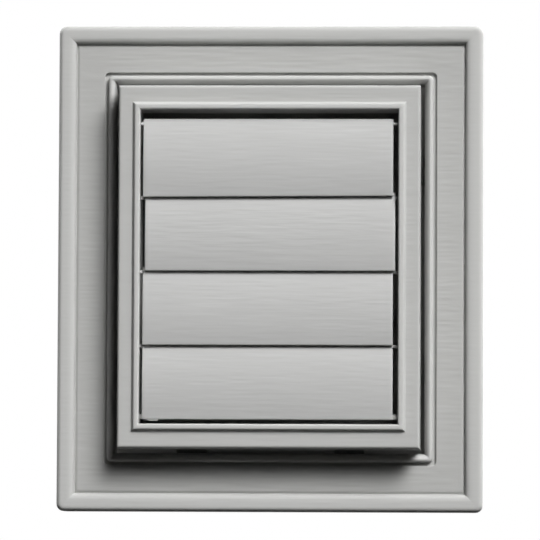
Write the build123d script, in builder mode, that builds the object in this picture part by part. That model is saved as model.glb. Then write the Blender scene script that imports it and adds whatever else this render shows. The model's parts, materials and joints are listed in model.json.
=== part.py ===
from build123d import *
import os

# Louvered exhaust vent for a sided wall: a nailed base with a box hood, a trim ring that snaps on
# over the siding, a louver frame with four gravity louvers, and a tail pipe for a round duct.
# The wall plane is y = 0, the front faces -Y and +Z is up. Sizes are in millimetres.
# A depth is measured out from the wall plane, towards -Y. An inset is measured in from an outer edge.

# Tail pipe
duct_radius = 50.0
pipe_wall = 1.6
pipe_length = 60.0
seat_rise = 0.8
seat_past_wall = 1.0
lip_width = 5.0
lip_thick = 2.0
pipe_fit = 0.3

# Mounting base
plate_thick = 2.4
hood_wall = 2.4
hood_side_room = 5.5
hood_end_room = 18.2
hood_depth = 40.0
flange_margin = 19.5
flange_thick = 2.0
flange_corner = 4.0
screw_radius = 2.25
screw_offset = 10.0
nail_slot_length = 14.0
nail_slot_width = 4.5
nail_slot_spacing = 64.0
clip_count = 4
clip_turn = 45
clip_length = 12.0
clip_wall = 1.8
clip_nose = 1.2
clip_gap = 0.15

# Trim ring, its section from the outer edge inwards
ring_margin = 26.0
ring_wall = 2.0
ring_corner = 3.0
ring_back = 10.0
flange_face = 26.0
rim_width = 7.6
rim_rise = 2.2
rim_round = 2.0
rim_roll = 3.0
groove_inset = 19.35
groove_width = 1.4
groove_depth = 1.3
groove_corner = 2.0
bead_rise = 1.7
bead_round = 1.3
bead_roll = 2.2
bead_roll_depth = 5.0
hood_gap = 1.6
return_wall = 1.4
return_back = 15.0
web_thick = 1.5
web_depth = 7.0
web_spacing_side = 56.0
web_spacing_end = 44.0

# Ring latches and the ratchet teeth they catch on
latch_width = 12.0
latch_lead = 0.3
latch_spacing_side = 84.0
latch_spacing_end = 66.0
latch_gap = 0.2
latch_tooth = 2
tooth_pitch = 2.0
tooth_clearance = 0.1
tooth_count = 5
tooth_first = 8.7

# Louver frame
bezel_thick = 2.8
bezel_round = 0.5
bezel_side_flat = 6.0
bezel_end_flat = 7.0
opening_bead_width = 3.2
opening_bead_rise = 1.6
opening_bead_round = 1.4
opening_lip_round = 0.5
cheek_wall = 3.2
tunnel_wall = 2.2
tunnel_depth = 14.0
frame_fit = 0.2
locator_wall = 1.6
locator_depth = 4.0
snap_width = 10.0
snap_wall = 1.6
snap_depth = 14.0
snap_barb = 0.7
snap_barb_length = 2.5
snap_clearance = 0.2
snap_spacing_side = 60.0
snap_spacing_end = 52.0

# Louvers, hung one above the other
louver_count = 4
louver_wall = 1.2
louver_bulge = 1.7
louver_side_gap = 1.4
louver_top_gap = 3.7
louver_bottom_gap = 1.9
louver_overlap = 1.65
louver_above_pin = 0.6
louver_step = 2.25
louver_recess = 1.6
pin_radius = 0.75
pin_fit = 0.06
pin_engagement = 1.7
pin_hole_depth = 2.4
stop_lift = 0.2
stop_height = 2.0
stop_thick = 2.0
stop_gap = 0.15
louver_play = 0.45
stub_start = 0.5
stub_length = 6.5
stub_drop = 0.7
right_slid_louver = 2

# How an edge rolls over: the shares of its width and depth that each facet reaches
roll_shares = [(0, 0), (0.45, 0.1), (0.8, 0.4), (1, 1)]

# Hood and ring outlines follow from the pipe and the margins round it
seat_radius = duct_radius + seat_rise
lip_radius = duct_radius + lip_width
inner_width = 2 * (lip_radius + hood_side_room)
inner_height = 2 * (lip_radius + hood_end_room)
hood_width = inner_width + 2 * hood_wall
hood_height = inner_height + 2 * hood_wall
ring_width = hood_width + 2 * ring_margin
ring_height = hood_height + 2 * ring_margin
rim_crest = flange_face + rim_rise
crest_inset = rim_width - rim_roll
bead_inset = groove_inset + groove_width
bead_top = flange_face + bead_rise
hole_inset = ring_margin - hood_gap
tooth_height = hood_gap - tooth_clearance
box_front = hood_depth - bezel_thick

# The opening and the louvers follow from the hood
opening_width = hood_width - 2 * (bezel_side_flat + opening_bead_width)
opening_height = hood_height - 2 * (bezel_end_flat + opening_bead_width)
opening_front = hood_depth + opening_bead_rise
tunnel_back = box_front - tunnel_depth
louver_width = opening_width - 2 * louver_side_gap
pin_length = opening_width + 2 * pin_engagement
louver_pitch = (opening_height - louver_top_gap - louver_bottom_gap - louver_overlap) / louver_count
louver_height = louver_pitch + louver_overlap
louver_rise = louver_overlap + louver_above_pin
louver_drop = louver_height - louver_rise
edge_back = louver_step - louver_wall
pin_depth = opening_front - louver_recess - louver_step
top_pin = opening_height / 2 - louver_top_gap - louver_rise
pin_heights = [top_pin - louver_pitch * number for number in range(louver_count)]


# A plane parallel to the wall, facing out, at a depth
def at_depth(depth):
    return Plane.XZ.offset(depth)


# A sketched rectangle whose corners are rounded, or sharp if the corner is 0
def rectangle_sketch(width, height, corner, mode):
    if corner > 0:
        RectangleRounded(width, height, corner, mode=mode)
    else:
        Rectangle(width, height, mode=mode)


# A sketched frame between two insets from the ring's outer edge
def ring_sketch(outer, inner, outer_corner=0, inner_corner=0):
    rectangle_sketch(ring_width - 2 * outer, ring_height - 2 * outer, outer_corner, Mode.ADD)
    rectangle_sketch(ring_width - 2 * inner, ring_height - 2 * inner, inner_corner, Mode.SUBTRACT)


# Planes square to the hood's outer walls, two to a wall. Each one's x leaves the wall,
# its y points out to the front and its normal runs along the wall.
def wall_planes(side_spacing, end_spacing):
    planes = []
    for step in (-0.5, 0.5):
        for sign in (-1, 1):
            side = (sign * hood_width / 2, 0, step * side_spacing)
            end = (step * end_spacing, 0, sign * hood_height / 2)
            planes.append(Plane(origin=side, x_dir=(sign, 0, 0), z_dir=(0, 0, -sign)))
            planes.append(Plane(origin=end, x_dir=(0, 0, sign), z_dir=(sign, 0, 0)))
    return planes


# Edges that lie in the plane at a depth, all of them or only those the last step made
def edges_at(builder, depth, which=Select.ALL):
    return builder.edges(which).filter_by_position(Axis.Y, -depth, -depth)


# The levels of a cut that rolls an edge over, down to an inset from the ring's outer edge:
# each one's depth, and the width and height of the cut there
def roll_levels(top, inset, width, depth):
    levels = []
    for width_share, depth_share in roll_shares:
        cut_inset = inset - width * (1 - width_share)
        cut_depth = top - depth * depth_share
        levels.append((cut_depth, ring_width - 2 * cut_inset, ring_height - 2 * cut_inset))
    return levels


latch_planes = wall_planes(latch_spacing_side, latch_spacing_end)
snap_planes = wall_planes(snap_spacing_side, snap_spacing_end)
web_planes = wall_planes(web_spacing_side, web_spacing_end)

os.makedirs("parts", exist_ok=True)

# Trim ring: a block with a raised rim, a groove and a rolled bead, hollowed from behind
with BuildPart() as trim_ring:
    with BuildSketch(at_depth(ring_back)):
        RectangleRounded(ring_width, ring_height, ring_corner)
    extrude(amount=rim_crest - ring_back)
    fillet(edges_at(trim_ring, rim_crest), radius=rim_round)
    # The recess inside the rim, which rolls over into it
    for depth, width, height in roll_levels(rim_crest, rim_width, rim_roll, rim_rise):
        with BuildSketch(at_depth(depth)):
            Rectangle(width, height)
    loft(ruled=True, mode=Mode.SUBTRACT)
    # The bead round the hole for the hood, rolled over into the hole
    with BuildSketch(at_depth(flange_face)):
        RectangleRounded(ring_width - 2 * bead_inset, ring_height - 2 * bead_inset, groove_corner)
    extrude(amount=bead_rise)
    fillet(edges_at(trim_ring, bead_top), radius=bead_round)
    for depth, width, height in roll_levels(bead_top, hole_inset, bead_roll, bead_roll_depth):
        with BuildSketch(at_depth(depth)):
            Rectangle(width, height)
    loft(ruled=True, mode=Mode.SUBTRACT)
    with BuildSketch(at_depth(ring_back)):
        Rectangle(ring_width - 2 * hole_inset, ring_height - 2 * hole_inset)
    extrude(amount=rim_crest - ring_back, mode=Mode.SUBTRACT)
    # The groove just outside the bead
    with BuildSketch(at_depth(flange_face)):
        ring_sketch(groove_inset, bead_inset, groove_corner, groove_corner)
    extrude(amount=-groove_depth, mode=Mode.SUBTRACT)
    # The hollow behind: under the flat, beside the return wall, and up into the rim
    return_inset = hole_inset - return_wall
    with BuildSketch(at_depth(ring_back)):
        Rectangle(ring_width - 2 * ring_wall, ring_height - 2 * ring_wall)
    extrude(amount=return_back - ring_back, mode=Mode.SUBTRACT)
    with BuildSketch(at_depth(return_back)):
        ring_sketch(ring_wall, return_inset)
    extrude(amount=flange_face - ring_wall - return_back, mode=Mode.SUBTRACT)
    with BuildSketch(at_depth(flange_face - ring_wall)):
        ring_sketch(ring_wall, crest_inset)
    extrude(amount=rim_rise, mode=Mode.SUBTRACT)
    # Webs that stiffen the flat, from the return wall to the outer wall
    with BuildSketch(*web_planes):
        with Locations((hood_gap + return_wall / 2, flange_face - ring_wall / 2)):
            Rectangle(
                hole_inset - return_wall / 2 - ring_wall / 2,
                ring_wall / 2 + web_depth,
                align=(Align.MIN, Align.MAX),
            )
    extrude(amount=web_thick / 2, both=True)
    # Latch fingers, each with one hook turned towards the hood
    hook_top = tooth_first + latch_tooth * tooth_pitch - latch_gap
    hook_end = hook_top - (hood_gap - latch_gap) * tooth_pitch / tooth_height
    with BuildSketch(*latch_planes):
        with BuildLine():
            Polyline(
                (hood_gap, return_back + return_wall),
                (hood_gap, hook_top),
                (latch_gap, hook_top),
                (hood_gap, hook_end),
                (hood_gap, hook_end - latch_lead),
                (hood_gap + return_wall, hook_end - latch_lead),
                (hood_gap + return_wall, return_back + return_wall),
                close=True,
            )
        make_face()
    extrude(amount=latch_width / 2, both=True)
trim_ring.part.label = "trim_ring"
export_step(trim_ring.part, "parts/trim_ring.step")

# Mounting base: nail flange, rear wall and box, with ratchet teeth outside and snap pockets inside
with BuildPart() as mounting_base:
    with BuildSketch(at_depth(0)):
        RectangleRounded(hood_width + 2 * flange_margin, hood_height + 2 * flange_margin, flange_corner)
    extrude(amount=flange_thick)
    with BuildSketch(at_depth(0)):
        Rectangle(hood_width, hood_height)
    extrude(amount=box_front)
    with BuildSketch(at_depth(plate_thick)):
        Rectangle(inner_width, inner_height)
    extrude(amount=box_front - plate_thick, mode=Mode.SUBTRACT)
    with BuildSketch(at_depth(0)):
        Circle(seat_radius + pipe_fit)
        with GridLocations(hood_width + 2 * screw_offset, hood_height + 2 * screw_offset, 2, 2):
            Circle(screw_radius)
        with GridLocations(nail_slot_spacing, hood_height + 2 * screw_offset, 2, 2):
            SlotOverall(nail_slot_length, nail_slot_width)
    extrude(amount=plate_thick, mode=Mode.SUBTRACT)
    # Teeth with a ramp to the front and a catch towards the wall
    with BuildSketch(*latch_planes):
        with Locations(*[(0, tooth_first + tooth_pitch * number) for number in range(tooth_count)]):
            Polygon(
                (-hood_wall / 2, 0),
                (tooth_height, 0),
                (0, tooth_pitch),
                (-hood_wall / 2, tooth_pitch),
                align=None,
            )
    extrude(amount=latch_width / 2 + latch_gap, both=True)
    # Pockets for the louver frame's barbs
    barb_top = box_front - snap_depth + snap_barb_length
    with BuildSketch(*snap_planes):
        with Locations((-hood_wall - frame_fit, barb_top + snap_clearance)):
            Rectangle(
                frame_fit + snap_barb + snap_clearance,
                snap_barb_length + 2 * snap_clearance,
                align=(Align.MIN, Align.MAX),
            )
    extrude(amount=snap_width / 2 + snap_clearance, both=True, mode=Mode.SUBTRACT)
    # Clips round the pipe's lip
    clip_top = plate_thick + lip_thick + clip_gap
    clip_radius = lip_radius + pipe_fit
    with BuildSketch(at_depth(plate_thick)):
        with PolarLocations(clip_radius + clip_wall / 2, clip_count, start_angle=clip_turn):
            Rectangle(clip_wall, clip_length)
    extrude(amount=lip_thick + clip_gap + clip_nose)
    with BuildSketch(at_depth(clip_top)):
        with PolarLocations(clip_radius + (clip_wall - clip_nose) / 2, clip_count, start_angle=clip_turn):
            Rectangle(clip_wall + clip_nose, clip_length)
    extrude(amount=clip_nose)
mounting_base.part.label = "mounting_base"
export_step(mounting_base.part, "parts/mounting_base.step")

# Tail pipe: a tube turned about the duct axis, with a lip that seats on the rear wall
# and a shoulder that fills the round opening and stops the duct
with BuildPart() as tail_pipe:
    with BuildSketch(Plane.XY):
        with BuildLine():
            Polyline(
                (duct_radius - pipe_wall, -plate_thick - lip_thick),
                (lip_radius, -plate_thick - lip_thick),
                (lip_radius, -plate_thick),
                (seat_radius, -plate_thick),
                (seat_radius, seat_past_wall),
                (duct_radius, seat_past_wall),
                (duct_radius, pipe_length),
                (duct_radius - pipe_wall, pipe_length),
                close=True,
            )
        make_face()
    revolve(axis=Axis.Y)
tail_pipe.part.label = "tail_pipe"
export_step(tail_pipe.part, "parts/tail_pipe.step")

# Louver frame: the bezel with its raised bead, and the tunnel that carries the pins and a cross-bar
with BuildPart() as louver_frame:
    with BuildSketch(at_depth(box_front)):
        Rectangle(hood_width, hood_height)
    extrude(amount=bezel_thick)
    fillet(edges_at(louver_frame, hood_depth), radius=bezel_round)
    with BuildSketch(at_depth(hood_depth)):
        Rectangle(opening_width + 2 * opening_bead_width, opening_height + 2 * opening_bead_width)
    extrude(amount=opening_bead_rise)
    fillet(edges_at(louver_frame, opening_front), radius=opening_bead_round)
    with BuildSketch(at_depth(tunnel_back)):
        Rectangle(opening_width + 2 * cheek_wall, opening_height + 2 * tunnel_wall)
    extrude(amount=tunnel_depth)
    with BuildSketch(at_depth(box_front)):
        Rectangle(inner_width - 2 * frame_fit, inner_height - 2 * frame_fit)
        Rectangle(
            inner_width - 2 * (frame_fit + locator_wall),
            inner_height - 2 * (frame_fit + locator_wall),
            mode=Mode.SUBTRACT,
        )
    extrude(amount=-locator_depth)
    with BuildSketch(at_depth(tunnel_back)):
        Rectangle(opening_width, opening_height)
    extrude(amount=opening_front - tunnel_back, mode=Mode.SUBTRACT)
    fillet(edges_at(louver_frame, opening_front, Select.LAST), radius=opening_lip_round)
    # Spring arms along the inside of the box, each with a barb for its pocket
    arm_face = -hood_wall - frame_fit
    with BuildSketch(*snap_planes):
        with BuildLine():
            Polyline(
                (arm_face, box_front),
                (arm_face, barb_top),
                (arm_face + frame_fit + snap_barb, barb_top),
                (arm_face, barb_top - snap_barb_length),
                (arm_face - snap_wall, barb_top - snap_barb_length),
                (arm_face - snap_wall, box_front),
                close=True,
            )
        make_face()
    extrude(amount=snap_width / 2, both=True)
    # Blind holes for the louver pins, drilled outwards from the opening
    with BuildSketch(Plane.YZ):
        with Locations(*[(-pin_depth, height) for height in pin_heights]):
            Circle(pin_radius + pin_fit)
    extrude(amount=opening_width / 2 + pin_hole_depth, both=True, mode=Mode.SUBTRACT)
    # The cross-bar that stops the lowest louver, hidden behind its lower edge.
    # The others rest on the louver below.
    with BuildSketch(at_depth(pin_depth + edge_back - stop_gap)):
        with Locations((0, louver_bottom_gap + stop_lift - opening_height / 2)):
            Rectangle(opening_width, stop_height, align=(Align.CENTER, Align.MIN))
    extrude(amount=-stop_thick)
louver_frame.part.label = "louver_frame"
export_step(louver_frame.part, "parts/louver_frame.step")

# Louvers: each a bowed plate that hangs from a pin at either end.
# One has slid to the right on its pins, the others to the left.
for number, height in enumerate(pin_heights, start=1):
    slide = louver_play if number == right_slid_louver else -louver_play
    top_front = (-pin_depth, height + louver_rise)
    low_front = (-louver_step - pin_depth, height - louver_drop)
    low_back = (-edge_back - pin_depth, height - louver_drop)
    top_back = (louver_wall - pin_depth, height + louver_rise)
    with BuildPart() as louver:
        with BuildSketch(Plane.YZ.offset(slide - louver_width / 2)):
            with BuildLine():
                SagittaArc(top_front, low_front, -louver_bulge)
                Line(low_front, low_back)
                SagittaArc(low_back, top_back, louver_bulge)
                Line(top_back, top_front)
            make_face()
        extrude(amount=louver_width)
        pin_starts = (slide + louver_width / 2, slide - pin_length / 2)
        with BuildSketch(*[Plane.YZ.offset(start) for start in pin_starts]):
            with Locations((-pin_depth, height)):
                Circle(pin_radius)
        extrude(amount=(pin_length - louver_width) / 2)
        # The stub that moulding left under the lowest louver's left corner
        if number == louver_count:
            stub_left = slide - louver_width / 2 + stub_start
            with BuildSketch(at_depth(pin_depth + edge_back)):
                with Locations((stub_left, height - louver_drop)):
                    Polygon(
                        (0, stub_drop),
                        (0, 0),
                        (stub_length / 2, -stub_drop),
                        (stub_length - stub_drop, -stub_drop),
                        (stub_length, 0),
                        (stub_length, stub_drop),
                        align=None,
                    )
            extrude(amount=louver_wall)
    louver.part.label = f"louver_{number}"
    export_step(louver.part, f"parts/louver_{number}.step")
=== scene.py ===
import json
import math
import bpy
import numpy as np
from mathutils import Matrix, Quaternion, Vector


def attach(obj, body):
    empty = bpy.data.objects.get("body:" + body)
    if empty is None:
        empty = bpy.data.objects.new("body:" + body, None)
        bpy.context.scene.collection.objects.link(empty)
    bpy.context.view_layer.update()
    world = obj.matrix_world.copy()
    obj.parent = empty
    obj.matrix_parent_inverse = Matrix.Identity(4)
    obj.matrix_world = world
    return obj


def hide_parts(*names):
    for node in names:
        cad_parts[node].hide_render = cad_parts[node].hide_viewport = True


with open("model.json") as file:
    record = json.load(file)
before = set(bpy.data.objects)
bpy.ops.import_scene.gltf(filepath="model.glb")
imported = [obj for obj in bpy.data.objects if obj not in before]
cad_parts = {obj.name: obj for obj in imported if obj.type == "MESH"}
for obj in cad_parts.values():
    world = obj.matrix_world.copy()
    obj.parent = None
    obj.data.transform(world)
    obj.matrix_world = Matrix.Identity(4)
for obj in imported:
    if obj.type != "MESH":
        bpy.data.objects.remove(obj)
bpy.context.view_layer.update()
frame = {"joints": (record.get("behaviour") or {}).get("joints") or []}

mm = 0.001
tableSize = 256  # side of the table of random heights
softLimit = 0.93  # most of a run that softening its corner may take
smoothAngle = 35  # degrees; flatter edges are shaded as one surface
scene = bpy.context.scene


# Colours are written as sRGB hex and turned to linear here
def toLinear(hexColour):
    parts = [int(hexColour[i:i + 2], 16) / 255 for i in (1, 3, 5)]
    return tuple(c / 12.92 if c <= 0.04045 else ((c + 0.055) / 1.055) ** 2.4 for c in parts) + (1.0,)


def addNode(tree, kind, inputs=None, **settings):
    node = tree.nodes.new(kind)
    for key, value in settings.items():
        setattr(node, key, value)
    for key, value in (inputs or {}).items():
        if isinstance(value, bpy.types.NodeSocket):
            tree.links.new(value, node.inputs[key])
        else:
            node.inputs[key].default_value = value
    return node


# Smooth random heights from -0.5 to 0.5: a table of random numbers, eased between neighbours
def latticeNoise(u, v, seed):
    table = np.random.default_rng(seed).random((tableSize, tableSize)) - 0.5
    i, j = np.floor(u).astype(int), np.floor(v).astype(int)
    fu, fv = u - i, v - j
    fu, fv = fu * fu * (3 - 2 * fu), fv * fv * (3 - 2 * fv)
    left, right = i % tableSize, (i + 1) % tableSize
    below, above = j % tableSize, (j + 1) % tableSize
    low = table[left, below] * (1 - fu) + table[right, below] * fu
    high = table[left, above] * (1 - fu) + table[right, above] * fu
    return low * (1 - fv) + high * fv


# Wood grain pressed into a face, never proud of it: coarse streaks plus finer ones at twice the
# pitch, both long and level, pushed up and down by a slow wander
def grainRelief(x, z, grain, seed):
    wander = grain["wander"] * latticeNoise(x / grain["wanderRun"], z / grain["wanderRun"] * 2, seed)
    coarse = latticeNoise(x / grain["streakRun"], (z + wander) / grain["streakPitch"] * 2, seed + 1)
    fine = latticeNoise(x / grain["streakRun"] * 2, (z + wander) / grain["streakPitch"] * 4, seed + 2)
    return grain["depth"] * np.clip(0.5 + grain["coarse"] * coarse + grain["fine"] * fine, 0, 1)


# A profile's corners softened by a short curve, and its straight runs cut to a spacing.
# A row holds side inset, end inset, depth, corner radius, grain share, softening.
def profileLine(corners, spacing):
    rows = np.array(corners, float)
    line = []
    for number, row in enumerate(rows):
        before, after = rows[number - 1], rows[(number + 1) % len(rows)]
        point, soft = row[:5], row[5]
        if soft <= 0:
            line.append((point, point))
            continue
        back, ahead = before[:5] - point, after[:5] - point
        leave = point + back * min(softLimit, soft / np.linalg.norm(back[1:3]))
        enter = point + ahead * min(softLimit, soft / np.linalg.norm(ahead[1:3]))
        count = 7 if soft > 0.7 else 5 if soft > 0.2 else 3  # more points on a broad curve
        steps = np.linspace(0, 1, count)[:, None]
        first, second, third = (1 - steps) ** 2, 2 * steps * (1 - steps) * math.sqrt(0.5), steps ** 2
        line.append(tuple((first * leave + second * point + third * enter) / (first + second + third)))
    points = []
    for number, run in enumerate(line):
        for point in run:
            if not points or np.linalg.norm(points[-1] - point) > 1e-9:
                points.append(point)
        start, end = run[-1], line[(number + 1) % len(line)][0]
        count = int(np.linalg.norm((end - start)[1:3]) / spacing[number])
        for step in range(1, count):
            points.append(start + (end - start) * step / count)
    if np.linalg.norm(points[-1] - points[0]) < 1e-9:
        points.pop()
    return np.array(points)


# One loop round a rectangle with rounded corners, starting at its lower left
def rectangleLoop(halfWidth, halfHeight, corner, across, up, turn):
    run = np.linspace(-1, 1, across)
    rise = np.linspace(-1, 1, up)
    bend = np.linspace(0, math.pi / 2, turn + 2)[1:-1]
    straightX, straightZ = halfWidth - corner, halfHeight - corner
    x = [straightX * run, straightX + corner * np.sin(bend), np.full(up, halfWidth),
         straightX + corner * np.cos(bend), -straightX * run, -straightX - corner * np.sin(bend),
         np.full(up, -halfWidth), -straightX - corner * np.cos(bend)]
    z = [np.full(across, -halfHeight), -straightZ - corner * np.cos(bend), straightZ * rise,
         straightZ + corner * np.sin(bend), np.full(across, halfHeight), straightZ + corner * np.cos(bend),
         -straightZ * rise, -straightZ - corner * np.sin(bend)]
    return np.concatenate(x), np.concatenate(z)


# Quads of a grid of rows and columns, numbered row by row
def gridFaces(rows, columns, wrapRows, wrapColumns):
    i = np.arange(rows if wrapRows else rows - 1)[:, None]
    j = np.arange(columns if wrapColumns else columns - 1)[None, :]
    nextRow, nextColumn = (i + 1) % rows, (j + 1) % columns
    quads = [i * columns + j, i * columns + nextColumn,
             nextRow * columns + nextColumn, nextRow * columns + j]
    return np.stack([q + 0 * (i + j) for q in quads], -1).reshape(-1, 4).tolist()


# A closed section swept round a rectangle, mitred or rounded at its corners
def sweptFrame(width, height, profile, path, grain, seed):
    x, z, depth = [], [], []
    for sideInset, endInset, level, corner, share in profile:
        loopX, loopZ = rectangleLoop(width / 2 - sideInset, height / 2 - endInset, corner, *path)
        x.append(loopX)
        z.append(loopZ)
        depth.append(level - share * grainRelief(loopX, loopZ, grain, seed))
    points = np.stack([np.array(x), -np.array(depth), np.array(z)], -1).reshape(-1, 3)
    return points, gridFaces(len(profile), len(x[0]), True, True)


# A polygon pushed out evenly both ways along its plane's normal
def prism(outline, origin, xDir, yDir, halfLength):
    xDir, yDir = np.array(xDir, float), np.array(yDir, float)
    flat = np.array(origin, float) + np.array(outline, float) @ np.stack([xDir, yDir])
    along = np.cross(xDir, yDir) * halfLength
    count = len(outline)
    sides = [[i, (i + 1) % count, count + (i + 1) % count, count + i] for i in range(count)]
    ends = [list(range(count))[::-1], list(range(count, 2 * count))]
    return np.vstack([flat - along, flat + along]), sides + ends


# Places along a hood's outer walls, two to a wall: origin and the way out of the wall
def wallPlaces(halfWidth, halfHeight, sideSpacing, endSpacing):
    places = []
    for step in (-0.5, 0.5):
        for sign in (-1, 1):
            places.append(((sign * halfWidth, 0, step * sideSpacing), (sign, 0, 0)))
            places.append(((step * endSpacing, 0, sign * halfHeight), (0, 0, sign)))
    return places


# Several lists of points and faces as one
def joinPieces(pieces):
    points, faces, start = [], [], 0
    for somePoints, someFaces in pieces:
        points.append(somePoints)
        faces += [[start + index for index in face] for face in someFaces]
        start += len(somePoints)
    return np.vstack(points), faces


# Points in millimetres become one object in the CAD's frame, with every shell's faces turned outwards
def makePiece(name, points, faces, material, body, node, slotName):
    mesh = bpy.data.meshes.new(name)
    mesh.from_pydata((points * mm).tolist(), [], faces)
    piece = bpy.data.objects.new(name, mesh)
    scene.collection.objects.link(piece)
    bpy.context.view_layer.objects.active = piece
    bpy.ops.object.select_all(action="DESELECT")
    piece.select_set(True)
    bpy.ops.object.mode_set(mode="EDIT")
    bpy.ops.mesh.select_all(action="SELECT")
    bpy.ops.mesh.normals_make_consistent(inside=False)
    bpy.ops.object.mode_set(mode="OBJECT")
    bpy.ops.object.shade_smooth_by_angle(angle=math.radians(smoothAngle))
    mesh.materials.append(material)
    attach(piece, body)
    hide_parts(node)
    return piece


# Moulded plastic: an even light grey with faint cloudiness, a soft sheen, and fine streaks that
# catch the light from the side; where a look asks for it, a painted highlight makes raised edges paler
def mouldedPlastic(name, look):
    material = bpy.data.materials.new(name)
    material.use_nodes = True
    tree = material.node_tree
    shader = tree.nodes["Principled BSDF"]
    place = addNode(tree, "ShaderNodeTexCoord").outputs["Object"]
    cloudScale = [1 / (size * mm) for size in look["cloudSize"]]
    cloudPlace = addNode(tree, "ShaderNodeMapping", {"Vector": place, "Scale": cloudScale})
    cloud = addNode(tree, "ShaderNodeTexNoise", {"Vector": cloudPlace.outputs["Vector"],
                                                 "Scale": 1.0, "Detail": 3.0})
    colour = addNode(tree, "ShaderNodeMix", {"Factor": cloud.outputs["Fac"],
                                             "A": toLinear(look["dark"]),
                                             "B": toLinear(look["light"])}, data_type="RGBA")
    streakScale = [1 / (size * mm) for size in look["streakSize"]]
    streakPlace = addNode(tree, "ShaderNodeMapping", {"Vector": place, "Scale": streakScale})
    streak = addNode(tree, "ShaderNodeTexNoise", {"Vector": streakPlace.outputs["Vector"],
                                                  "Scale": 1.0, "Detail": 2.0})
    bump = addNode(tree, "ShaderNodeBump", {"Height": streak.outputs["Fac"],
                                            "Strength": look["streakStrength"],
                                            "Distance": look["streakDepth"] * mm})
    if "paintedHighlightDepth" in look:  # painted highlight: raised edges paler, from one depth to another
        parts = addNode(tree, "ShaderNodeSeparateXYZ", {"Vector": place})
        low, high = look["paintedHighlightDepth"]
        paintedHighlightShare = addNode(tree, "ShaderNodeMapRange", {"Value": parts.outputs["Y"],
                                                      "From Min": -low * mm, "From Max": -high * mm})
        colour = addNode(tree, "ShaderNodeMix", {"Factor": paintedHighlightShare.outputs["Result"],
                                                 "A": colour.outputs["Result"],
                                                 "B": toLinear(look["crest"])}, data_type="RGBA")
    tree.links.new(colour.outputs["Result"], shader.inputs["Base Color"])
    tree.links.new(bump.outputs["Normal"], shader.inputs["Normal"])
    shader.inputs["Roughness"].default_value = look["roughness"]
    shader.inputs["Specular IOR Level"].default_value = look["specular"]
    return material


grain = {"depth": 0.055, "streakPitch": 1.7, "streakRun": 12.0, "wander": 0.8, "wanderRun": 14.0,  # mm
         "coarse": 0.9, "fine": 0.5}
frameGrain = dict(grain, depth=0.12, wander=0.4)

# Grained faces: level streaks, clouds that run with them, and a painted highlight that makes raised edges
# paler on ring and bezel
grainedLook = {"dark": "#b8b8b6", "light": "#c0c0be", "cloudSize": (30, 30, 8), "streakSize": (9, 1.2, 0.6),
               "streakStrength": 0.5, "streakDepth": 0.05, "roughness": 0.5, "specular": 0.06}
# The crest colour is a painted highlight, paler on the raised rim of the ring and on the bead round the
# opening
ringLook = dict(grainedLook, crest="#c8c8c6", paintedHighlightDepth=(26.3, 27.5))
bezelLook = dict(grainedLook, dark="#bebebc", light="#c6c6c4", crest="#cbcbc9", paintedHighlightDepth=(40.3, 41.3))
louverLook = dict(grainedLook, dark="#c0c0bf", light="#c9c9c8")
# Hidden mouldings: a shade darker and finely pitted all over, with no grain
plainLook = {"dark": "#b0b0ae", "light": "#b8b8b6", "cloudSize": (20, 20, 20), "streakSize": (0.7, 0.7, 0.7),
             "streakStrength": 0.3, "streakDepth": 0.03, "roughness": 0.55, "specular": 0.06}
ringPlastic = mouldedPlastic("grained moulded polypropylene, ring", ringLook)
bezelPlastic = mouldedPlastic("grained moulded polypropylene, bezel", bezelLook)
louverPlastic = mouldedPlastic("grained moulded polypropylene, louvers", louverLook)
plainPlastic = mouldedPlastic("plain moulded polypropylene", plainLook)
print("materials made")

# Trim ring
ring = {"width": 177.8, "height": 203.2, "margin": 26.0, "wall": 2.0, "corner": 3.0, "back": 10.0,
        "face": 26.0, "crest": 28.2, "rimRound": 2.0, "rimRoll": 3.0, "rimWidth": 7.6, "rimGrain": 0.5,
        "rollShares": ((0.45, 0.1), (0.8, 0.4)), "crease": 0.65,
        "grooveInset": 19.35, "grooveWidth": 1.4, "grooveDepth": 1.3, "grooveCorner": 2.0,
        "beadRise": 1.7, "beadRound": 1.3, "beadRoll": 2.2, "beadRollDepth": 5.0,
        "beadCorners": (0.9, 0.5, 0.2), "gap": 1.6, "returnWall": 1.4, "returnBack": 15.0,
        "webThick": 1.5, "webDepth": 6.0, "webSink": 0.5, "webSpacing": (56.0, 44.0), "webEnds": (0.8, 1.0),
        "latchSpacing": (84.0, 66.0), "latchWidth": 12.0, "latchReach": 0.2, "latchLead": 0.3,
        "latchRoot": 1.0, "hookTop": 12.5, "hookEnd": 10.633,
        "points": (70, 400, 4), "seed": 11}  # points across, up and round a corner
beadInset = ring["grooveInset"] + ring["grooveWidth"]
crestInset = ring["rimWidth"] - ring["rimRoll"]
holeInset = ring["margin"] - ring["gap"]
returnInset = holeInset - ring["returnWall"]
under = ring["face"] - ring["wall"]
grooveFloor = ring["face"] - ring["grooveDepth"]
beadTop = ring["face"] + ring["beadRise"]
rimRise = ring["crest"] - ring["face"]
(rollMid, midDrop), (rollLow, lowDrop) = ring["rollShares"]
midInset, lowInset = crestInset + rollMid * ring["rimRoll"], crestInset + rollLow * ring["rimRoll"]
midCrest, lowCrest = ring["crest"] - midDrop * rimRise, ring["crest"] - lowDrop * rimRise
midHole, lowHole = holeInset - (1 - rollMid) * ring["beadRoll"], holeInset - (1 - rollLow) * ring["beadRoll"]
midBead, lowBead = beadTop - midDrop * ring["beadRollDepth"], beadTop - lowDrop * ring["beadRollDepth"]
beadEdge, beadMid, beadLow = ring["beadCorners"]
creaseEnd = ring["rimWidth"] + 1.5 * ring["crease"]
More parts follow.
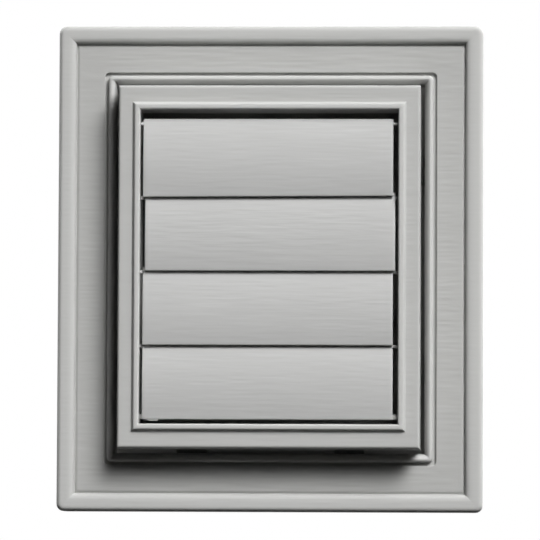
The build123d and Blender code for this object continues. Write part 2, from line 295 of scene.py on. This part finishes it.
ringCorners = [  # inset, depth, corner, grain, softening, spacing to the next
    (0, ring["back"], ring["corner"], 0, 0, 9),
    (0, ring["crest"], ring["corner"], ring["rimGrain"], ring["rimRound"], 0.5),
    (crestInset, ring["crest"], 0.1, ring["rimGrain"], 0.7, 0.5),
    (midInset, midCrest, 0.1, ring["rimGrain"], 0.6, 0.5),
    (lowInset, lowCrest, 0.1, 0, 0.6, 0.5),
    (ring["rimWidth"], ring["face"] - ring["crease"], 0.1, 0, 0.05, 0.45),
    (creaseEnd, ring["face"], 0.1, 1, 0.08, 0.5),
    (ring["grooveInset"], ring["face"], ring["grooveCorner"], 1, 0.12, 0.6),
    (ring["grooveInset"], grooveFloor, ring["grooveCorner"], 0, 0.1, 0.6),
    (beadInset, grooveFloor, ring["grooveCorner"], 0, 0.1, 0.6),
    (beadInset, beadTop, ring["grooveCorner"], 0, ring["beadRound"], 0.6),
    (holeInset - ring["beadRoll"], beadTop, beadEdge, 0, 0.1, 9),
    (midHole, midBead, beadMid, 0, 0.8, 9),
    (lowHole, lowBead, beadLow, 0, 0.8, 9),
    (holeInset, beadTop - ring["beadRollDepth"], 0.1, 0, 0.3, 9),
    (holeInset, ring["returnBack"], 0.1, 0, 0, 9),
    (returnInset, ring["returnBack"], 0.1, 0, 0, 9),
    (returnInset, under, 0.1, 0, 0, 9),
    (crestInset, under, 0.1, 0, 0, 9),
    (crestInset, ring["crest"] - ring["wall"], 0.1, 0, 0, 9),
    (ring["wall"], ring["crest"] - ring["wall"], 0.1, 0, 0, 9),
    (ring["wall"], ring["back"], 0.1, 0, 0, 9),
]
ringProfile = profileLine([(row[0],) + row[:5] for row in ringCorners], [row[5] for row in ringCorners])
hoodHalf = (ring["width"] / 2 - ring["margin"], ring["height"] / 2 - ring["margin"])
ringPieces = [sweptFrame(ring["width"], ring["height"], ringProfile, ring["points"], frameGrain,
                         ring["seed"])]
webStart, webEnd = ring["gap"] + ring["webEnds"][0], ring["margin"] - ring["webEnds"][1]
webOutline = [(webStart, under + ring["webSink"]), (webEnd, under + ring["webSink"]),
              (webEnd, under - ring["webDepth"]), (webStart, under - ring["webDepth"])]
for place, wayOut in wallPlaces(*hoodHalf, *ring["webSpacing"]):
    ringPieces.append(prism(webOutline, place, wayOut, (0, -1, 0), ring["webThick"] / 2))
latchBack = ring["gap"] + ring["returnWall"]
latchTop = ring["returnBack"] + ring["latchRoot"]
latchEnd = ring["hookEnd"] - ring["latchLead"]
latchOutline = [(ring["gap"], latchTop), (ring["gap"], ring["hookTop"]),
                (ring["latchReach"], ring["hookTop"]), (ring["gap"], ring["hookEnd"]),
                (ring["gap"], latchEnd), (latchBack, latchEnd), (latchBack, latchTop)]
for place, wayOut in wallPlaces(*hoodHalf, *ring["latchSpacing"]):
    ringPieces.append(prism(latchOutline, place, wayOut, (0, -1, 0), ring["latchWidth"] / 2))
makePiece("trimRing", *joinPieces(ringPieces), ringPlastic, "housing", "trim_ring", "ring_plastic")
print("trim ring made")

# Louver frame
bezel = {"width": 125.8, "height": 151.2, "back": 37.2, "front": 40.0, "corner": 0.1, "round": 1.3,
         "sideFlat": 6.0, "endFlat": 7.0, "beadWidth": 3.2, "beadRise": 1.6, "beadRound": 1.35,
         "beadSlope": (1.0, 1.45), "lipRound": 0.8, "cheekWall": 3.2, "tunnelWall": 2.2, "tunnelDepth": 14.0,
         "fit": 0.2, "hoodWall": 2.4, "locatorWall": 1.6, "locatorDepth": 4.0,
         "armSpacing": (60.0, 52.0), "armWidth": 10.0, "armWall": 1.6, "armDepth": 14.0, "barb": 0.7,
         "barbLength": 2.5, "stopFoot": 2.1, "stopHeight": 2.0, "stopThick": 2.0, "stopFront": 38.65,
         "points": (80, 300, 3), "seed": 23}  # points across, up and round a corner
slopeWidth, slopeRise = bezel["beadSlope"]
slopeSide, slopeEnd = bezel["sideFlat"] + slopeWidth, bezel["endFlat"] + slopeWidth
crownSide, crownEnd = bezel["sideFlat"] + bezel["beadRound"], bezel["endFlat"] + bezel["beadRound"]
openSide = bezel["sideFlat"] + bezel["beadWidth"]
openEnd = bezel["endFlat"] + bezel["beadWidth"]
beadFront = bezel["front"] + bezel["beadRise"]
tunnelBack = bezel["back"] - bezel["tunnelDepth"]
locatorOut = bezel["hoodWall"] + bezel["fit"]
locatorIn = locatorOut + bezel["locatorWall"]
locatorBack = bezel["back"] - bezel["locatorDepth"]
tunnelSide, tunnelEnd = openSide - bezel["cheekWall"], openEnd - bezel["tunnelWall"]
bezelCorners = [  # side inset, end inset, depth, corner, grain, softening, spacing to the next
    (0, 0, bezel["back"], bezel["corner"], 0, 0, 9),
    (0, 0, bezel["front"], bezel["corner"], 0, bezel["round"], 0.45),
    (bezel["sideFlat"], bezel["endFlat"], bezel["front"], 0.1, 1, 0.1, 0.5),
    (slopeSide, slopeEnd, bezel["front"] + slopeRise, 0.1, 0, 0.4, 0.5),
    (crownSide, crownEnd, beadFront, 0.1, 0, 0.4, 0.5),
    (openSide, openEnd, beadFront, 0.1, 0, bezel["lipRound"], 9),
    (openSide, openEnd, tunnelBack, 0.1, 0, 0, 9),
    (tunnelSide, tunnelEnd, tunnelBack, 0.1, 0, 0, 9),
    (tunnelSide, tunnelEnd, bezel["back"], 0.1, 0, 0, 9),
    (locatorIn, locatorIn, bezel["back"], 0.1, 0, 0, 9),
    (locatorIn, locatorIn, locatorBack, 0.1, 0, 0, 9),
    (locatorOut, locatorOut, locatorBack, 0.1, 0, 0, 9),
    (locatorOut, locatorOut, bezel["back"], 0.1, 0, 0, 9),
]
bezelProfile = profileLine([row[:6] for row in bezelCorners], [row[6] for row in bezelCorners])
framePieces = [sweptFrame(bezel["width"], bezel["height"], bezelProfile, bezel["points"], frameGrain,
                          bezel["seed"])]
armFace = -bezel["hoodWall"] - bezel["fit"]
barbTop = bezel["back"] - bezel["armDepth"] + bezel["barbLength"]
barbEnd = barbTop - bezel["barbLength"]
armBack = armFace - bezel["armWall"]
armOutline = [(armFace, bezel["back"]), (armFace, barbTop), (armFace + bezel["fit"] + bezel["barb"], barbTop),
              (armFace, barbEnd), (armBack, barbEnd), (armBack, bezel["back"])]
for place, wayOut in wallPlaces(*hoodHalf, *bezel["armSpacing"]):
    framePieces.append(prism(armOutline, place, wayOut, (0, -1, 0), bezel["armWidth"] / 2))
openHalf = bezel["width"] / 2 - openSide
stopFoot = openEnd - bezel["height"] / 2 + bezel["stopFoot"]
stopTop = stopFoot + bezel["stopHeight"]
stopNear, stopFar = -bezel["stopFront"], bezel["stopThick"] - bezel["stopFront"]
stopOutline = [(stopNear, stopFoot), (stopFar, stopFoot), (stopFar, stopTop), (stopNear, stopTop)]
framePieces.append(prism(stopOutline, (0, 0, 0), (0, 1, 0), (0, 0, 1), openHalf))
makePiece("louverFrame", *joinPieces(framePieces), bezelPlastic, "housing", "louver_frame", "bezel_plastic")
print("louver frame made")

# Louvers, on the frame's hinges
louver = {"width": 104.0, "rise": 2.25, "drop": 30.2875, "wall": 1.2, "bulge": 1.7, "step": 2.25,
          "slides": (-0.45, 0.45, -0.45, -0.45),
          "tilt": (0.011, 0, 0, 0), "tiltPivot": -16.0, "tiltFade": 6.0,
          "edgeSoft": 0.3, "edgeCurve": (0.25, 0.3), "pinRadius": 0.75, "pinClear": 0.05, "pinCorners": 24,
          "stub": (0.5, 6.5, 0.7), "frontRows": 90, "backRows": 24, "columns": 76, "seed": 31, "seedStep": 7}
pinPlaces = [joint["pos_m"] for joint in frame["joints"]]
pinDepth = -pinPlaces[0][1] / mm
pinHeights = [place[2] / mm for place in pinPlaces]


# A circle's arc of a louver's bulge between two points of its section
def louverArc(start, end, count):
    start, end = np.array(start), np.array(end)
    length = np.linalg.norm(end - start)
    radius = (length ** 2 / 4 + louver["bulge"] ** 2) / (2 * louver["bulge"])
    steps = np.linspace(-0.5, 0.5, count)
    bow = np.sqrt(radius ** 2 - (steps * length) ** 2) - (radius - louver["bulge"])
    outwards = np.array([end[1] - start[1], start[0] - end[0]]) / length
    outwards *= np.sign(outwards[0])
    return start + (steps[:, None] + 0.5) * (end - start) + bow[:, None] * outwards


# A louver's section from its top, as distance in front of the pin and height above it, edges softened
def louverSection():
    rise, drop, soft = louver["rise"], louver["drop"], louver["edgeSoft"]
    inwards, down = (share * soft for share in louver["edgeCurve"])
    front = louverArc((0, rise), (louver["step"], -drop), louver["frontRows"])
    back = louverArc((louver["step"] - louver["wall"], -drop), (-louver["wall"], rise), louver["backRows"])
    top = np.array([[-soft, rise], [-inwards, rise - down]])
    low = np.array([[louver["step"] - inwards, down - drop], [louver["step"] - soft, -drop]])
    front = front[(front[:, 1] < rise - soft) & (front[:, 1] > soft - drop)]
    return np.vstack([top, front, low, back]), len(top), len(top) + len(front)


section, firstFront, lastFront = louverSection()
for number, pinHeight in enumerate(pinHeights):
    slide = louver["slides"][number]
    half = louver["width"] / 2
    soft = louver["edgeSoft"]
    near = louver["edgeCurve"][1] * soft
    columns = np.concatenate([[-half, -half + near, -half + soft],
                              np.linspace(-half, half, louver["columns"])[1:-1],
                              [half - soft, half - near, half]])
    pull = np.zeros(len(columns))
    pull[[0, -1]] = soft
    pull[[1, -2]] = near
    share = np.zeros(len(section))
    share[firstFront:lastFront] = 1.0
    x = np.repeat(columns[None, :], len(section), 0) + slide
    z = np.repeat(section[:, 1:], len(columns), 1) + pinHeight
    out = np.repeat(section[:, :1], len(columns), 1)
    relief = grainRelief(x, z, grain, louver["seed"] + louver["seedStep"] * number)
    out = out - share[:, None] * (relief + pull[None, :])
    fade = np.clip((pinHeight - z) / louver["tiltFade"], 0, 1)
    z = z - louver["tilt"][number] * (louver["tiltPivot"] - x) / 2 * fade
    points = np.stack([x, -(pinDepth + out), z], -1).reshape(-1, 3)
    faces = gridFaces(len(section), len(columns), True, False)
    width = len(columns)
    faces.append([row * width for row in range(len(section))])
    faces.append([row * width + width - 1 for row in range(len(section))][::-1])
    pieces = [(points, faces)]
    turn = np.linspace(0, 2 * math.pi, louver["pinCorners"] + 1)[:-1]
    pinOutline = np.stack([np.cos(turn), np.sin(turn)], -1) * louver["pinRadius"]
    for sign in (-1, 1):
        start, end = slide + sign * half, sign * (openHalf - louver["pinClear"])
        pieces.append(prism(pinOutline, ((start + end) / 2, -pinDepth, pinHeight), (0, 1, 0), (0, 0, 1),
                            abs(end - start) / 2))
    if number == len(pinHeights) - 1:
        stubStart, stubLength, stubDrop = louver["stub"]
        left = slide - half + stubStart
        foot = pinHeight - louver["drop"]
        stubOutline = [(left, foot + stubDrop), (left, foot), (left + stubLength / 2, foot - stubDrop),
                       (left + stubLength - stubDrop, foot - stubDrop), (left + stubLength, foot),
                       (left + stubLength, foot + stubDrop)]
        stubDepth = pinDepth + louver["step"] - louver["wall"] / 2 - soft / 2
        stubHalf = (louver["wall"] - soft) / 2
        pieces.append(prism(stubOutline, (0, -stubDepth, 0), (1, 0, 0), (0, 0, 1), stubHalf))
    name = f"louver_{number + 1}"
    makePiece(f"louver{number + 1}", *joinPieces(pieces), louverPlastic, name, name, "louver_plastic")
print("louvers made")

# The base and the pipe keep their CAD meshes
for node in ("mounting_base", "tail_pipe"):
    bpy.data.objects[node].data.materials.clear()
    bpy.data.objects[node].data.materials.append(plainPlastic)
print("base and pipe dressed")

# Floor, well below the vent, which hangs on a wall
floorValues = {"height": -0.55, "radius": 8.0, "corners": 96, "pale": "#e6e6e4", "bounce": "#404040",
               "glow": 0.85}


# One for rays that show the background to the eye: straight from the camera, mirrored, or through
# clear pieces
def seenRays(tree):
    path = addNode(tree, "ShaderNodeLightPath")
    mirrored = addNode(tree, "ShaderNodeMath", {0: path.outputs["Is Camera Ray"],
                                                1: path.outputs["Is Glossy Ray"]}, operation="MAXIMUM")
    seen = addNode(tree, "ShaderNodeMath", {0: mirrored.outputs["Value"],
                                            1: path.outputs["Is Transmission Ray"]}, operation="MAXIMUM")
    return seen.outputs["Value"]


# Matte paper floor: pale to the eye, with the object's shadow, throwing little light back up, and
# clear from below
def paperFloor(values):
    material = bpy.data.materials.new("matte paper floor")
    material.use_nodes = True
    tree = material.node_tree
    tree.nodes.clear()
    pale = addNode(tree, "ShaderNodeBsdfDiffuse", {"Color": toLinear(values["pale"])})
    glow = addNode(tree, "ShaderNodeEmission", {"Color": toLinear(values["pale"]),
                                                "Strength": values["glow"]})
    seen = addNode(tree, "ShaderNodeAddShader", {0: pale.outputs["BSDF"], 1: glow.outputs["Emission"]})
    bounce = addNode(tree, "ShaderNodeBsdfDiffuse", {"Color": toLinear(values["bounce"])})
    mixed = addNode(tree, "ShaderNodeMixShader", {0: seenRays(tree), 1: bounce.outputs["BSDF"],
                                                  2: seen.outputs["Shader"]})
    side = addNode(tree, "ShaderNodeNewGeometry")
    clear = addNode(tree, "ShaderNodeBsdfTransparent")
    paper = addNode(tree, "ShaderNodeMixShader", {0: side.outputs["Backfacing"], 1: mixed.outputs["Shader"],
                                                  2: clear.outputs["BSDF"]})
    addNode(tree, "ShaderNodeOutputMaterial", {"Surface": paper.outputs["Shader"]})
    return material


floorMesh = bpy.data.meshes.new("floor")
around = np.arange(floorValues["corners"]) * 2 * math.pi / floorValues["corners"]
floorEdge = [(floorValues["radius"] * math.cos(a), floorValues["radius"] * math.sin(a), floorValues["height"])
             for a in around]
floorMesh.from_pydata(floorEdge, [], [list(range(floorValues["corners"]))])
floor = bpy.data.objects.new("floor", floorMesh)
scene.collection.objects.link(floor)
floorMesh.materials.append(paperFloor(floorValues))

# World: white where it is seen, and a dim even fill to everything else
worldValues = {"fill": 0.012, "fillColour": "#ffffff"}
world = bpy.data.worlds.new("studio")
scene.world = world
world.use_nodes = True
tree = world.node_tree
tree.nodes.clear()
fill = addNode(tree, "ShaderNodeBackground", {"Color": toLinear(worldValues["fillColour"]),
                                              "Strength": worldValues["fill"]})
white = addNode(tree, "ShaderNodeBackground", {"Color": (1, 1, 1, 1), "Strength": 1.0})
seen = addNode(tree, "ShaderNodeMixShader", {0: seenRays(tree), 1: fill.outputs["Background"],
                                             2: white.outputs["Background"]})
addNode(tree, "ShaderNodeOutputWorld", {"Surface": seen.outputs["Shader"]})

# Lamps: a soft key from the upper right and two weaker ones from behind
lamps = {
    "key": {"from": (0.42, -0.64, 0.66), "distance": 1.2, "size": 0.87, "power": 2.5, "spread": 40},
    "backLeft": {"from": (-0.74, 0.46, 0.49), "distance": 1.4, "size": 0.4, "power": 1.1, "spread": 40},
    "backRight": {"from": (0.74, 0.46, 0.49), "distance": 1.4, "size": 0.4, "power": 1.1, "spread": 40},
}
for name, values in lamps.items():
    lamp = bpy.data.lights.new(name, "AREA")
    lamp.shape = "DISK"
    lamp.size = values["size"]
    lamp.energy = values["power"]
    lamp.spread = math.radians(values["spread"])
    lampObject = bpy.data.objects.new(name, lamp)
    scene.collection.objects.link(lampObject)
    way = Vector(values["from"]).normalized()
    lampObject.location = way * values["distance"]
    lampObject.rotation_mode = "QUATERNION"
    lampObject.rotation_quaternion = way.to_track_quat("Z", "Y")

# Camera: a long lens, a little below and to the right of square on
view = {"azimuth": 2.46, "elevation": -3.42, "distance": 2.03, "lens": 319.6, "roll": 0.253,
        "shift": (-0.0052, 0.0041), "sensor": 36.0, "clip": (0.05, 20.0)}
camera = bpy.data.objects.new("camera", bpy.data.cameras.new("camera"))
scene.collection.objects.link(camera)
scene.camera = camera
azimuth, elevation = math.radians(view["azimuth"]), math.radians(view["elevation"])
level = math.cos(elevation)
away = Vector((math.sin(azimuth) * level, -math.cos(azimuth) * level, math.sin(elevation)))
camera.location = away * view["distance"]
camera.rotation_mode = "QUATERNION"
roll = Quaternion((0, 0, 1), math.radians(view["roll"]))
camera.rotation_quaternion = away.to_track_quat("Z", "Y") @ roll
camera.data.lens = view["lens"]
camera.data.sensor_width = view["sensor"]
camera.data.shift_x, camera.data.shift_y = view["shift"]
camera.data.clip_start, camera.data.clip_end = view["clip"]
scene.view_settings.view_transform = "Standard"
print("floor, light and camera set")
